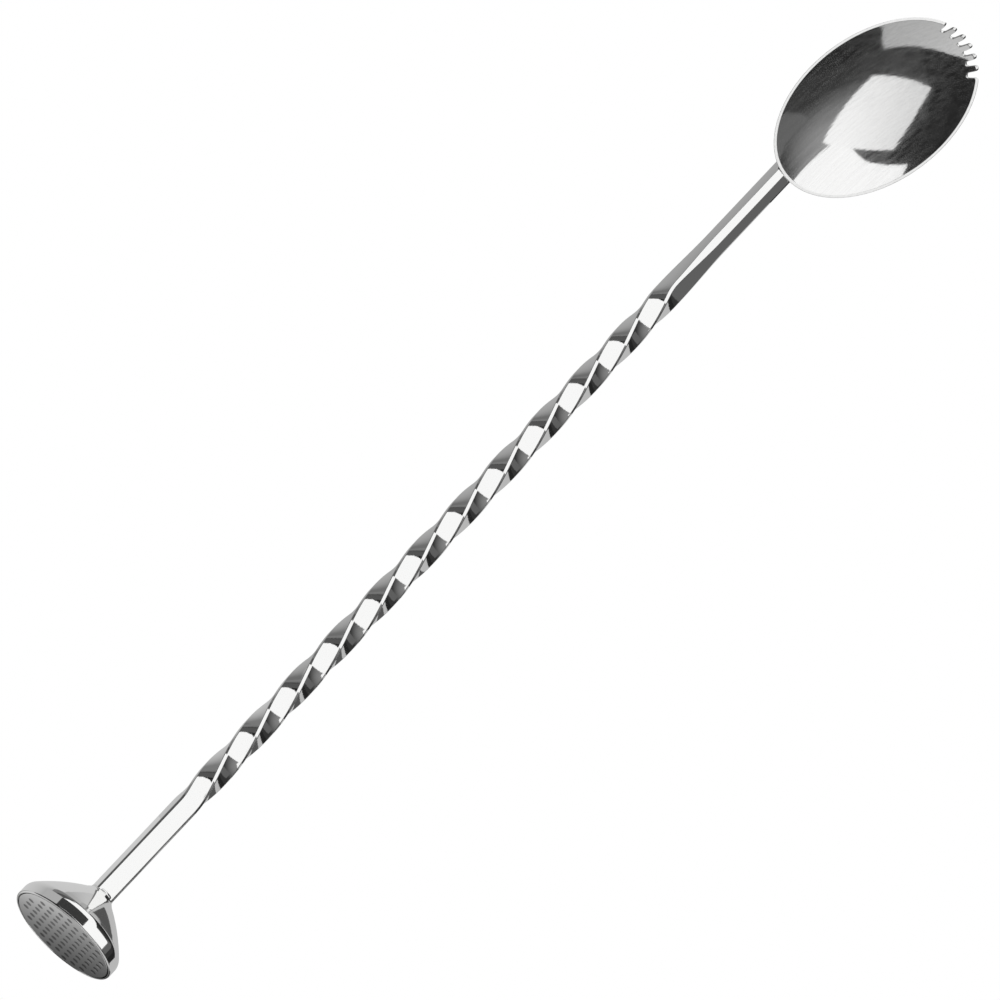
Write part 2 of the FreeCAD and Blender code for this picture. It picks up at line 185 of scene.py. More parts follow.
def bar_outline(x):
    """The bar's section at x: points round it and their normals, each as (side, across)."""
    flat = smooth_step(x, FLATTEN_FROM, FLATTEN_TO)
    radius = ROUND_CORNER + (FLAT_CORNER - ROUND_CORNER) * flat
    diagonal = ROUND_DIAGONAL + (FLAT_DIAGONAL - ROUND_DIAGONAL) * flat
    crown = math.radians(ROUND_CROWN + (FLAT_CROWN - ROUND_CROWN) * flat)
    turned = math.cos(crown) + math.sin(crown)
    face_radius = (math.sqrt(2) * (diagonal - radius) - BAR_FLATS / 2 + radius * turned) / (turned - 1)
    face_centre = np.array((BAR_FLATS / 2 - face_radius, 0.0))
    corner = face_centre + (face_radius - radius) * toward(crown)
    # An eighth of the outline: half a face and the arc to the chamfer. The next eighth is its mirror image.
    points, normals = [], []
    for angle in np.linspace(0, crown, SECTION_FACE + 1)[:-1]:
        normals.append(toward(angle))
        points.append(face_centre + face_radius * normals[-1])
    for angle in np.linspace(crown, math.pi / 4, SECTION_ARC):
        normals.append(toward(angle))
        points.append(corner + radius * normals[-1])
    points, normals = np.array(points), np.array(normals)
    points = np.concatenate([points, points[:0:-1, ::-1]])
    normals = np.concatenate([normals, normals[:0:-1, ::-1]])
    quarters = [np.array((toward(a), toward(a + math.pi / 2))) for a in np.arange(4) * math.pi / 2]
    return np.concatenate([points @ q for q in quarters]), np.concatenate([normals @ q for q in quarters])


def place_section(x, section):
    """Section points (side, across) at x as points in the spoon's axes."""
    turn = np.radians(turn_at(x))
    side, across = section[:, 0], section[:, 1]
    y = side * np.sin(turn) + across * np.cos(turn)
    z = side * np.cos(turn) - across * np.sin(turn)
    return np.stack([np.full(len(section), x), y, z], axis=1)


def reach_back(points, direction):
    """How far each point is from the bowl's back along a direction, or NO_BACK where the line misses it."""
    along = np.array((direction @ RIM_ALONG, direction[1], direction @ RIM_OUT)) / (BOWL_A, BOWL_B, BOWL_C)
    start = points - RIM_MIDDLE
    start = np.stack([start @ RIM_ALONG, start[..., 1], start @ RIM_OUT - RIM_RISE], axis=-1)
    start = start / (BOWL_A, BOWL_B, BOWL_C)
    a, b, c = along @ along, start @ along, (start * start).sum(-1) - 1
    inside = b * b - a * c
    return np.where(inside > 0, (-b - np.sqrt(np.maximum(inside, 0))) / a, NO_BACK)


def end_ring(x, base):
    """The bar's section near the bowl, at x: cut down to the nose and the bowl's back, and rounded below."""
    ring = base.copy()
    ring[:, 0] = x
    nose = min(max((x - NOSE_FROM) / (NOSE_TO - NOSE_FROM), 0.0), 1.0)
    top = NOSE_LEVEL + NOSE_DROP * math.sqrt(1 - nose**2)
    if x > NOSE_TO - NOSE_OVERLAP:
        under_bowl = ring * (1, 1, 0) + (0, 0, BELOW)
        back = BELOW + reach_back(under_bowl, UP) + INTO_SHEET
        top = np.minimum(top, back) if x < NOSE_TO else back
    ring[:, 2] = np.minimum(ring[:, 2], top)
    share = min(max((x - UNDER_FROM) / (STEM_TO - UNDER_FROM), 0.0), 1.0)
    above = ring[:, 2] - UNDER_LEVEL
    ring[:, 2] = UNDER_LEVEL + above * np.where(above < 0, math.sqrt(1 - UNDER_CLOSING * share**2), 1)
    return ring


def make_stem(material):
    """The bar: rings along its length, then rings down to its end under the bowl, closed at both ends."""
    rows, normals = [], []
    for x in np.arange(STEM_FROM, STEM_STRAIGHT_TO, STEM_STEP):
        outline, sides = bar_outline(x)
        rows.append(place_section(x, outline))
        ahead = place_section(x + SLOPE_STEP, bar_outline(x + SLOPE_STEP)[0])
        behind = place_section(x - SLOPE_STEP, bar_outline(x - SLOPE_STEP)[0])
        along = (ahead - behind) / (2 * SLOPE_STEP)
        # A side's normal leans along the bar just enough to stand square to the way the side runs.
        outward = place_section(x, sides)
        outward[:, 0] = -np.einsum("ij,ij->i", outward[:, 1:], along[:, 1:])
        normals.append(unit(outward))
    outline, sides = bar_outline(STEM_STRAIGHT_TO)
    base = place_section(STEM_STRAIGHT_TO, outline)
    flat_normals = place_section(STEM_STRAIGHT_TO, sides) * (0, 1, 1)
    places = np.concatenate(
        [
            np.linspace(STEM_STRAIGHT_TO, NOSE_FROM, PLAIN_ROWS)[:-1],
            NOSE_FROM + (NOSE_TO - NOSE_FROM) * np.sin(np.linspace(0, math.pi / 2, NOSE_ROWS)),
            NOSE_TO + (STEM_TO - NOSE_TO) * np.linspace(0, 1, BACK_ROWS)[1:],
        ]
    )
    end_rows = np.array([end_ring(x, base) for x in places])
    end_normals = -grid_normals(end_rows)
    # Where the bar isn't cut down yet its own normals hold.
    whole = (np.abs(end_rows[..., 1:] - base[:, 1:]).sum(-1) < UNCUT)[..., None]
    end_normals = np.where(whole, flat_normals, end_normals)
    columns = len(base)
    total = len(rows) + len(end_rows)
    middles = [[STEM_TO, 0.0, end_rows[-1][:, 2].mean()], [STEM_FROM, 0.0, 0.0]]
    points = np.concatenate([*rows, *end_rows, middles])
    normals = np.concatenate([*normals, *end_normals, [[1, 0, 0], [-1, 0, 0]]])
    faces = grid_faces(total, columns, flip=True)
    faces += fan_faces(total * columns, (total - 1) * columns, columns, flip=True)
    faces += fan_faces(total * columns + 1, 0, columns)
    return make_piece("stem_bar", points, faces, normals, "stem", material)


# --- Bowl -------------------------------------------------------------------------------------------------

LENGTH = 280.0
RIM_HALF_LENGTH, RIM_HALF_WIDTH = 24.72, 17.3
RIM_TILT = math.radians(27.4)
RIM_LIFT = 12.35
# The bowl is the bottom of an ellipsoid, whose centre is RIM_RISE above the rim's plane.
BOWL_DEPTH, RIM_RISE = 7.2, 11.5
BOWL_C = BOWL_DEPTH + RIM_RISE
SPREAD = math.sqrt(1 - (RIM_RISE / BOWL_C) ** 2)
BOWL_A, BOWL_B = RIM_HALF_LENGTH / SPREAD, RIM_HALF_WIDTH / SPREAD
SHEET = 0.5
RIM_MIDDLE = np.array((LENGTH - RIM_HALF_LENGTH * math.cos(RIM_TILT), 0.0, RIM_LIFT))
RIM_ALONG = np.array((math.cos(RIM_TILT), 0.0, math.sin(RIM_TILT)))
RIM_OUT = np.array((-math.sin(RIM_TILT), 0.0, math.cos(RIM_TILT)))
OUTER_ROUND, INNER_ROUND = 0.2, 0.12
OUTER_STEPS, INNER_STEPS = 6, 5
# The notches, measured along the rim and down the wall. Inside, they go NOTCH_SQUARE as far down as outside.
NOTCHES = 6
TOOTH_PITCH, NOTCH_DEPTH = 2.7, 2.7
SERRATION_MIDDLE = -1.0
NOTCH_BOTTOM, TOOTH_TOP = 0.6, 0.64
NOTCH_SQUARE = 0.86
# Columns are spread evenly round the bowl from EVEN_DEPTH down. The rows end just short of the lowest point.
PITCH_COLUMNS, PLAIN_COLUMNS = 44, 300
EDGE_ROWS, WALL_ROWS = 12, 34
EVEN_DEPTH, LAST_ROW = 4.8, 0.985
# Near the rim, the inner wall is shaded as if it flared out a little, on the +Y side. The flare starts and is
# full at these sines of the angle round the rim.
FLARE, FLARE_DEPTH = 0.5, 5.0
FLARE_FROM, FLARE_FULL = 0.15, 0.7


def from_rim(points):
    """Points in the rim's own frame (along, across, out) as points in the spoon's axes."""
    points = np.asarray(points, float)
    return RIM_MIDDLE + points[..., :1] * RIM_ALONG + points[..., 1:2] * ACROSS + points[..., 2:] * RIM_OUT


def directions_from_rim(vectors):
    """Directions in the rim's own frame as directions in the spoon's axes."""
    return from_rim(vectors) - RIM_MIDDLE


def tooth_profile():
    """One pitch of the serration, from one tooth's middle to the next: distance along the rim and depth.

    Straight sides lean just enough to join the round tooth tops to the round notch bottoms."""
    top, bottom = TOOTH_TOP, NOTCH_BOTTOM
    half, depth = TOOTH_PITCH / 2, NOTCH_DEPTH
    # Centres of the two arcs; the side is their inner common tangent.
    gap_s, gap_d = half, depth - top - bottom
    distance = math.hypot(gap_s, gap_d)
    lean = math.atan2(gap_s, gap_d) - math.asin(min(1.0, (top + bottom) / distance))
    turn = math.pi / 2 - lean
    steps = PITCH_COLUMNS // 2
    arc = np.linspace(0, turn, steps // 3 + 1)
    tooth = np.stack([top * np.sin(arc), top - top * np.cos(arc)], axis=1)
    notch = np.stack([half - bottom * np.sin(arc[::-1]), depth - bottom + bottom * np.cos(arc[::-1])], axis=1)
    sides = np.linspace(0, 1, steps - 2 * (len(arc) - 1) + 1)[1:-1, None]
    side = tooth[-1] + (notch[0] - tooth[-1]) * sides
    falling = np.concatenate([tooth, side, notch])
    rising = falling[::-1][1:-1] * (-1, 1) + (TOOTH_PITCH, 0)
    return np.concatenate([falling, rising])


def rim_profile():
    """The rim all the way round: angle round its ellipse, depth down the wall, and angle when evened out."""
    # Close to the tip, a distance along the rim is this many times the angle.
    scale = RIM_HALF_WIDTH
    wave = tooth_profile()
    first = SERRATION_MIDDLE - NOTCHES * TOOTH_PITCH / 2
    angles, depths = [], []
    for notch in range(NOTCHES):
        for s, d in wave:
            s_here = first + notch * TOOTH_PITCH + s
            angles.append(s_here / scale)
            depths.append(d)
    last = (first + NOTCHES * TOOTH_PITCH) / scale
    plain = np.linspace(last, 2 * math.pi + first / scale, PLAIN_COLUMNS + 1)[:-1]
    even = np.linspace(first / scale, last, len(angles) + 1)[:-1]
    return (
        np.concatenate([angles, plain]),
        np.concatenate([depths, np.zeros(PLAIN_COLUMNS)]),
        np.concatenate([even, plain]),
    )


def bowl_surface(inset, angle, depth):
    """A point and normal on one of the bowl's surfaces, by the angle round and the depth down the wall.

    The third value is how deep the surface's lowest point is, along the wall."""
    angle, depth = np.broadcast_arrays(angle, depth)
    a, b, c = BOWL_A - inset, BOWL_B - inset, BOWL_C - inset
    start = math.acos(RIM_RISE / c)
    wall = np.sqrt((a * math.cos(start)) ** 2 + (c * math.sin(start)) ** 2)
    down = start - depth / wall
    x, y = a * np.sin(down) * np.cos(angle), b * np.sin(down) * np.sin(angle)
    point = np.stack([x, y, RIM_RISE - c * np.cos(down)], axis=-1)
    normal = unit(point * (1 / a**2, 1 / b**2, 1 / c**2) - np.array((0, 0, RIM_RISE / c**2)))
    return point, normal, start * wall


def wall_grid(inset, angle, even, depth, trim):
    """Rows of one of the bowl's surfaces, from its trimmed edge to near its lowest point."""
    rows, normals = [], []
    inward = into_metal(angle, depth)
    edge_angle = angle + inward[:, 0] * trim / RIM_HALF_WIDTH
    edge_depth = depth + inward[:, 1] * trim
    _, _, reach = bowl_surface(inset, 0.0, 0.0)
    for share in np.linspace(0, 1, EDGE_ROWS):
        here_angle = edge_angle + (even - edge_angle) * share**3
        here_depth = edge_depth + (EVEN_DEPTH - edge_depth) * share
        point, normal, _ = bowl_surface(inset, here_angle, here_depth)
        rows.append(point)
        normals.append(normal)
    for share in np.linspace(0, 1, WALL_ROWS + 1)[1:]:
        here_depth = EVEN_DEPTH + (LAST_ROW * reach - EVEN_DEPTH) * share
        point, normal, _ = bowl_surface(inset, even, here_depth)
        rows.append(point)
        normals.append(normal)
    return np.array(rows), np.array(normals)


def into_metal(angle, depth):
    """The direction into the metal from each point of the rim's profile, in (along the rim, down)."""
    s = angle * RIM_HALF_WIDTH
    period = 2 * math.pi * RIM_HALF_WIDTH
    ahead, behind = np.roll(s, -1), np.roll(s, 1)
    ahead[-1] += period
    behind[0] -= period
    run = ahead - behind
    fall = np.roll(depth, -1) - np.roll(depth, 1)
    return unit(np.stack([-fall, run], axis=1))


def bezier(start, control, end, steps):
    """Rows of points along quadratic curves, from each start to each end."""
    t = np.linspace(0, 1, steps)[:, None, None]
    return (1 - t) ** 2 * start + 2 * t * (1 - t) * control + t**2 * end


def make_bowl(material):
    """The sheet: its outer surface from the lowest point up, over the rounded edge, and down the inside."""
    angle, depth, even = rim_profile()
    outer, outer_normals = wall_grid(0.0, angle, even, depth, OUTER_ROUND)
    inner, inner_normals = wall_grid(SHEET, angle, even, NOTCH_SQUARE * depth, INNER_ROUND)
    near_rim = 1 - smooth_step(-inner[..., 2], 0, FLARE_DEPTH)
    inner_normals[..., 2] -= FLARE * near_rim * smooth_step(np.sin(even), FLARE_FROM, FLARE_FULL)
    inner_normals = unit(inner_normals)
    outer_edge, _, _ = bowl_surface(0.0, angle, depth)
    inner_edge, _, _ = bowl_surface(SHEET, angle, NOTCH_SQUARE * depth)
    across = inner_edge - outer_edge
    width = np.linalg.norm(across, axis=1, keepdims=True)
    outer_turn = outer_edge + across * OUTER_ROUND / width
    inner_turn = inner_edge - across * INNER_ROUND / width
    outer_part = bezier(outer[0], outer_edge, outer_turn, OUTER_STEPS)
    edge = np.concatenate([outer_part, bezier(inner_turn, inner_edge, inner[0], INNER_STEPS)])
    edge_normals = grid_normals(edge)
    rows = np.concatenate([outer[::-1], edge[1:-1], inner])
    normals = np.concatenate([outer_normals[::-1], edge_normals[1:-1], -inner_normals])
    columns = len(angle)
    count = len(rows) * columns
    poles = np.array([[0, 0, -BOWL_DEPTH], [0, 0, SHEET - BOWL_DEPTH]])
    points = from_rim(np.concatenate([rows.reshape(-1, 3), poles]))
    normals = directions_from_rim(np.concatenate([normals.reshape(-1, 3), [[0, 0, -1]], [[0, 0, 1]]]))
    faces = grid_faces(len(rows), columns)
    faces += fan_faces(count, 0, columns, flip=True)
    faces += fan_faces(count + 1, (len(rows) - 1) * columns, columns)
    return make_piece("bowl_sheet", points, faces, normals, "bowl", material)


# --- Turned pieces ----------------------------------------------------------------------------------------

# Places on the masher's outline are (x, radius).
PLATE_RADIUS = 12.0
GROOVE_WIDTH, GROOVE_DEPTH = 0.26, 0.6
RIM_RADIUS, RIM_EDGE = 12.6, 0.36
RIM_BAND, RIM_CORNER = 2.9, 2.3
SHOULDER, NECK, NECK_INSIDE = (11.0, 3.75), (12.2, 2.55), (12.5, 2.2)
NECK_ROUND = 1.1
# The flank bulges by FLANK_CROWN. Its first and last rows give way to the arcs at its ends.
FLANK_CROWN = 0.4
FLANK_ROWS, FLANK_FIRST, FLANK_LAST = 30, 5, 25
TURNED_COLUMNS = 320
SHORT_STEPS, EDGE_STEPS, CORNER_STEPS, NECK_STEPS = 4, 10, 18, 16
NECK_BEAD_AT, NECK_BEAD_SIZE, NECK_BEAD_ROWS = (12.2, 2.35), 0.42, 16
SAME_PLACE = 1e-5


def round_corner(before, corner, after, radius, steps):
    """Points of the arc that rounds a corner between two straight runs of an outline."""
    before, corner, after = (np.array(p, float) for p in (before, corner, after))
    first, second = unit(before - corner), unit(after - corner)
    half = math.acos(np.clip(first @ second, -1, 1)) / 2
    start, end = corner + first * radius / math.tan(half), corner + second * radius / math.tan(half)
    centre = corner + unit(first + second) * radius / math.sin(half)
    from_centre, to_centre = start - centre, end - centre
    sweep = math.acos(np.clip(unit(from_centre) @ unit(to_centre), -1, 1))
    share = np.linspace(0, 1, steps)[:, None]
    arc = np.sin((1 - share) * sweep) * from_centre + np.sin(share * sweep) * to_centre
    return arc / math.sin(sweep) + centre


def straight(start, end, steps):
    """Points along a straight run of an outline."""
    return np.linspace(np.array(start, float), np.array(end, float), steps)


def lathe(name, outline, replaced, material):
    """Turns an outline of (x, radius) places round the stem's axis. The outside is on the outline's left."""
    moved = np.linalg.norm(np.diff(outline, axis=0), axis=1) > SAME_PLACE
    outline = outline[np.concatenate([[True], moved])]
    run = np.gradient(outline, axis=0)
    outward = unit(np.stack([-run[:, 1], run[:, 0]], axis=1))
    angles = np.linspace(0, 2 * math.pi, TURNED_COLUMNS, endpoint=False)
    points = np.concatenate([ring_at(x, radius, angles) for x, radius in outline])
    normals = np.concatenate([ring_at(x, radius, angles) for x, radius in outward])
    faces = grid_faces(len(outline), TURNED_COLUMNS, flip=True)
    return make_piece(name, points, faces, normals, replaced, material)


def make_masher(material):
    """The cone's outside, from the groove round the face plate, over the rim and flank to the neck."""
    seat = (GROOVE_DEPTH, PLATE_RADIUS + GROOVE_WIDTH / 2)
    lip = (0.0, PLATE_RADIUS + GROOVE_WIDTH / 2)
    rim, band = (0.0, RIM_RADIUS), (RIM_BAND, RIM_RADIUS)
    chord = np.array(SHOULDER) - np.array(band)
    share = np.linspace(0, 1, FLANK_ROWS)[:, None]
    bulge = unit(np.array((-chord[1], chord[0]))) * FLANK_CROWN * 4 * share * (1 - share)
    flank = straight(band, SHOULDER, FLANK_ROWS) + bulge
    outline = np.concatenate(
        [
            straight(seat, lip, SHORT_STEPS),
            round_corner(lip, rim, band, RIM_EDGE, EDGE_STEPS),
            round_corner(rim, band, flank[FLANK_FIRST], RIM_CORNER, CORNER_STEPS),
            flank[FLANK_FIRST : FLANK_LAST + 1],
            round_corner(flank[FLANK_LAST], SHOULDER, NECK, NECK_ROUND, NECK_STEPS),
            straight(NECK, NECK_INSIDE, SHORT_STEPS),
        ]
    )
    return lathe("masher_shell", outline, "masher_cone", material)


def make_neck_bead(material):
    """A half-round ring where the bar enters the neck."""
    turns = np.linspace(-math.pi / 2, math.pi / 2, NECK_BEAD_ROWS)
    outline = NECK_BEAD_AT + NECK_BEAD_SIZE * np.stack([np.sin(turns), np.cos(turns)], axis=1)
    return lathe("neck_bead_ring", outline, "neck_weld_bead", material)


# --- Face plate -------------------------------------------------------------------------------------------

# Dimples stand in rows, half a pitch further along in every other row, inside a circle.
DIMPLE_PITCH, ROW_PITCH = 2.5, 2.13
DIMPLE_RADIUS, DIMPLE_DEPTH, DIMPLE_POWER = 0.72, 0.1, 1.3
DIMPLE_FIELD = 10.6
ROW_ANGLE = math.radians(24.7)
# A dimple is fully painted dark, as painted shade, where it is deeper than this share of its depth.
DARK_SHARE = 0.15
PLATE_EDGE, PLATE_EDGE_STEPS = 0.1, 6
PLATE_RINGS, PLATE_COLUMNS = 118, 720


def dimple_depth(y, z):
    """How far the plate's face is sunk at (y, z)."""
    along = y * math.sin(ROW_ANGLE) + z * math.cos(ROW_ANGLE)
    across = y * math.cos(ROW_ANGLE) - z * math.sin(ROW_ANGLE)
    row = np.round(across / ROW_PITCH - 0.5)
    middle_across = (row + 0.5) * ROW_PITCH
    offset = 0.5 * np.mod(row, 2)
    middle_along = (np.round(along / DIMPLE_PITCH - offset) + offset) * DIMPLE_PITCH
    inside = np.hypot(middle_along, middle_across) <= DIMPLE_FIELD
    distance = np.hypot(along - middle_along, across - middle_across)
    share = np.clip(distance / DIMPLE_RADIUS, 0, 1)
    return np.where(inside, DIMPLE_DEPTH * (1 - share**2) ** DIMPLE_POWER, 0.0)


def make_face_plate(material):
    """The dimpled face, its rounded edge and its side. Each point has a value for how hollow it is."""
    outer = PLATE_RADIUS - GROOVE_WIDTH / 2
    radii = np.linspace(0, outer - PLATE_EDGE, PLATE_RINGS)[1:]
    angles = np.linspace(0, 2 * math.pi, PLATE_COLUMNS, endpoint=False)
    radius, angle = np.meshgrid(radii, angles, indexing="ij")
    y, z = radius * np.sin(angle), radius * np.cos(angle)
    depth = dimple_depth(y, z)
    slope_y = (dimple_depth(y + SLOPE_STEP, z) - dimple_depth(y - SLOPE_STEP, z)) / (2 * SLOPE_STEP)
    slope_z = (dimple_depth(y, z + SLOPE_STEP) - dimple_depth(y, z - SLOPE_STEP)) / (2 * SLOPE_STEP)
    rows = [*np.stack([depth, y, z], axis=-1)]
    normals = [*unit(np.stack([-np.ones_like(y), slope_y, slope_z], axis=-1))]
    for turn in np.linspace(0, math.pi / 2, PLATE_EDGE_STEPS)[1:]:
        edge_radius = outer - PLATE_EDGE + PLATE_EDGE * math.sin(turn)
        rows.append(ring_at(PLATE_EDGE - PLATE_EDGE * math.cos(turn), edge_radius, angles))
        normals.append(ring_at(-math.cos(turn), math.sin(turn), angles))
    rows.append(rows[-1] + (GROOVE_DEPTH, 0, 0))
    normals.append(normals[-1])
    count = len(rows) * PLATE_COLUMNS
    points = np.concatenate([*rows, [[dimple_depth(0.0, 0.0), 0, 0]]])
    normals = np.concatenate([*normals, [[-1, 0, 0]]])
    faces = grid_faces(len(rows), PLATE_COLUMNS, flip=True) + fan_faces(count, 0, PLATE_COLUMNS)
    plate = make_piece("face_plate", points, faces, normals, "masher_face_plate", material)
    hollow = plate.data.attributes.new("hollow", "FLOAT", "POINT")
    depths = np.concatenate([depth.ravel(), np.zeros(len(points) - depth.size)])
    hollow.data.foreach_set("value", np.clip(depths / (DARK_SHARE * DIMPLE_DEPTH), 0, 1))
    return plate


# --- Bead under the bowl ----------------------------------------------------------------------------------

BEAD_SIZE = 0.42
BEAD_FROM, BEAD_TO = 236.7, 241.1
# The bead's size follows the root of a sine, from BEAD_END radians to as much short of a half turn. Its edges
# go BEAD_INTO into the steel and its root BEAD_ROOT, and its face is hollow by BEAD_PULL towards the root.
BEAD_END = 0.1
BEAD_INTO, BEAD_ROOT = 0.05, 0.25
BEAD_PULL = 0.4
BEAD_ROWS, BEAD_STEPS = 40, 8
CORNER_PASSES = 5


def make_bowl_bead(material):
    """A small concave fillet on each side of the bar, under the bowl's back."""
    outline, _ = bar_outline(STEM_STRAIGHT_TO)
    section = place_section(STEM_STRAIGHT_TO, outline)[:, 1:]
    x = np.linspace(BEAD_FROM, BEAD_TO, BEAD_ROWS)
    size = BEAD_SIZE * np.sqrt(np.sin(np.linspace(BEAD_END, math.pi - BEAD_END, BEAD_ROWS)))
    points, faces = [], []
    for side in (1, -1):
        half = section[side * section[:, 0] > BAR_FLATS / 4]
        half = half[np.argsort(half[:, 1])]

        def on_bar(z):
            return np.interp(z, half[:, 1], half[:, 0])

        def on_back(y):
            return BELOW + reach_back(np.stack([x, y, np.full(BEAD_ROWS, BELOW)], axis=-1), UP)

        # The line where the bar's side meets the bowl's back, found in a few passes.
        y = on_bar(np.zeros(BEAD_ROWS))
        for _ in range(CORNER_PASSES):
            z = on_back(y)
            y = on_bar(z)
        down = np.stack([x, on_bar(z - size) - BEAD_INTO * side, z - size], axis=-1)
        out = np.stack([x, y + side * size, on_back(y + side * size) + BEAD_INTO], axis=-1)
        corner = np.stack([x, y, z], axis=-1)
        pulled = corner * BEAD_PULL + (down + out) * ((1 - BEAD_PULL) / 2)
        within = corner + np.array((0, -BEAD_ROOT * side, BEAD_ROOT))
        rows = np.concatenate([bezier(down, pulled, out, BEAD_STEPS), within[None]]).transpose(1, 0, 2)
        first, columns = sum(len(p) for p in points), rows.shape[1]
        ends = [tuple(range(columns))[::-1], tuple(range((BEAD_ROWS - 1) * columns, BEAD_ROWS * columns))]
        for face in grid_faces(BEAD_ROWS, columns) + ends:
            face = tuple(first + i for i in face)
            faces.append(face if side > 0 else face[::-1])
        points.append(rows.reshape(-1, 3))
    points = np.concatenate(points)
    return make_piece("bowl_bead", points, faces, None, "bowl_weld_bead", material)


# --- Materials --------------------------------------------------------------------------------------------

POLISHED = (0.93, 0.93, 0.925)
SATIN = (0.88, 0.88, 0.875)
GROUND = (0.86, 0.86, 0.855)
# The colour of the painted shade in the face plate's dimples.
DIMPLE_SHADE = (0.22, 0.22, 0.22)
# The polishing lines' height is in metres.
LINE_DETAIL = 6
LINE_HEIGHT = 0.00002
PATCH_SCALE, PATCH_DETAIL = 180, 4
ROUGHNESS_SPREAD = 0.03
# The least and most height of the lines, out of 1, between which the haze grows.
HAZE_LINES = (0.3, 0.7)


def steel(name, colour, roughness, line_scale, line_bump):
    """Polished steel with faint lines along one direction, and roughness that varies a little."""
    material = bpy.data.materials.new(name)
    material.use_nodes = True
    nodes, links = material.node_tree.nodes, material.node_tree.links
    shader = nodes["Principled BSDF"]
    shader.inputs["Base Color"].default_value = (*colour, 1)
    shader.inputs["Metallic"].default_value = 1
    place = nodes.new("ShaderNodeTexCoord")
    stretch = nodes.new("ShaderNodeMapping")
    stretch.inputs["Scale"].default_value = line_scale
    links.new(place.outputs["Object"], stretch.inputs["Vector"])
    lines = nodes.new("ShaderNodeTexNoise")
    lines.inputs["Scale"].default_value = 1
    lines.inputs["Detail"].default_value = LINE_DETAIL
    links.new(stretch.outputs["Vector"], lines.inputs["Vector"])
    patches = nodes.new("ShaderNodeTexNoise")
    patches.inputs["Scale"].default_value = PATCH_SCALE
    patches.inputs["Detail"].default_value = PATCH_DETAIL
    links.new(place.outputs["Object"], patches.inputs["Vector"])
    vary = nodes.new("ShaderNodeMapRange")
    vary.inputs["To Min"].default_value = roughness - ROUGHNESS_SPREAD
    vary.inputs["To Max"].default_value = roughness + ROUGHNESS_SPREAD
    links.new(patches.outputs["Fac"], vary.inputs["Value"])
    links.new(vary.outputs["Result"], shader.inputs["Roughness"])
    bump = nodes.new("ShaderNodeBump")
    bump.inputs["Strength"].default_value = line_bump
    bump.inputs["Distance"].default_value = LINE_HEIGHT
    links.new(lines.outputs["Fac"], bump.inputs["Height"])
    links.new(bump.outputs["Normal"], shader.inputs["Normal"])
    return material


def add_haze(material, least, most, roughness):
    """Mixes a broad, dim sheen into the reflections, stronger along some of the polishing lines."""
    nodes, links = material.node_tree.nodes, material.node_tree.links
    sheen = nodes.new("ShaderNodeBsdfAnisotropic")
    sheen.inputs["Color"].default_value = (*POLISHED, 1)
    sheen.inputs["Roughness"].default_value = roughness
    share = nodes.new("ShaderNodeMapRange")
    lines = nodes["Bump"].inputs["Height"].links[0].from_socket
    for key, value in zip(("From Min", "From Max", "To Min", "To Max"), (*HAZE_LINES, least, most)):
        share.inputs[key].default_value = value
    both = nodes.new("ShaderNodeMixShader")
    links.new(lines, share.inputs["Value"])
    links.new(share.outputs["Result"], both.inputs["Fac"])
    links.new(nodes["Principled BSDF"].outputs["BSDF"], both.inputs[1])
    links.new(sheen.outputs["BSDF"], both.inputs[2])
    links.new(both.outputs["Shader"], nodes["Material Output"].inputs["Surface"])


def paint_shade_in_hollows(material, colour, shade_colour):
    """Paints shade: blends to a darker colour where the mesh's hollow value rises, so that the dimples read
    dark.
    """
    nodes, links = material.node_tree.nodes, material.node_tree.links
    hollow = nodes.new("ShaderNodeAttribute")
    hollow.attribute_name = "hollow"
    blend = nodes.new("ShaderNodeMix")
    blend.data_type = "RGBA"
    blend.inputs["A"].default_value = (*colour, 1)
    blend.inputs["B"].default_value = (*shade_colour, 1)
    links.new(hollow.outputs["Fac"], blend.inputs["Factor"])
    links.new(blend.outputs["Result"], nodes["Principled BSDF"].inputs["Base Color"])


STEM_STEEL = steel("stem_steel_polished", POLISHED, 0.07, line_scale=(60, 2500, 2500), line_bump=0.25)
BOWL_STEEL = steel("bowl_steel_brushed", POLISHED, 0.07, line_scale=(35, 1500, 700), line_bump=0.6)
add_haze(BOWL_STEEL, least=0.0, most=0.22, roughness=0.42)
MASHER_STEEL = steel("masher_steel_turned", POLISHED, 0.06, line_scale=(2500, 60, 60), line_bump=0.15)
FACE_STEEL = steel("face_steel_satin", SATIN, 0.12, line_scale=(200, 1500, 1500), line_bump=0.2)
# The face plate's dimples get painted shade: a darker colour where they are deep.
paint_shade_in_hollows(FACE_STEEL, SATIN, DIMPLE_SHADE)
WELD_STEEL = steel("weld_steel_ground", GROUND, 0.14, line_scale=(900, 900, 900), line_bump=0.3)

make_stem(STEM_STEEL)
make_bowl(BOWL_STEEL)
make_masher(MASHER_STEEL)
make_neck_bead(WELD_STEEL)
make_face_plate(FACE_STEEL)
make_bowl_bead(WELD_STEEL)

# --- Studio -----------------------------------------------------------------------------------------------

# The camera's place and axes, in the spoon's own axes.
CAMERA_AT = (-507.3, 650.26, 1413.76)
CAMERA_RIGHT = (0.63329, -0.5508, 0.54366)
CAMERA_DOWN = (-0.67298, -0.73881, 0.03543)
CAMERA_FORWARD = (0.38215, -0.38831, -0.83856)
LENS, SENSOR_WIDTH = 288.0, 36.0
CLIP_FROM, CLIP_TO = 0.05, 20.0

# The floor's reach is in metres. The cards are placed in mm.
FLOOR_REACH = 2.0
ROOM_BRIGHTNESS = 0.018
CARD_DISTANCE = 3000.0
WALL_DISTANCE = 5000.0
HALO_DISTANCE, HALO_SPREAD = 14000.0, 1.6
MASHER_CARD_DISTANCE = 40.0
TABLE_LEVEL, PATCH_LEVEL = -0.6, -0.5

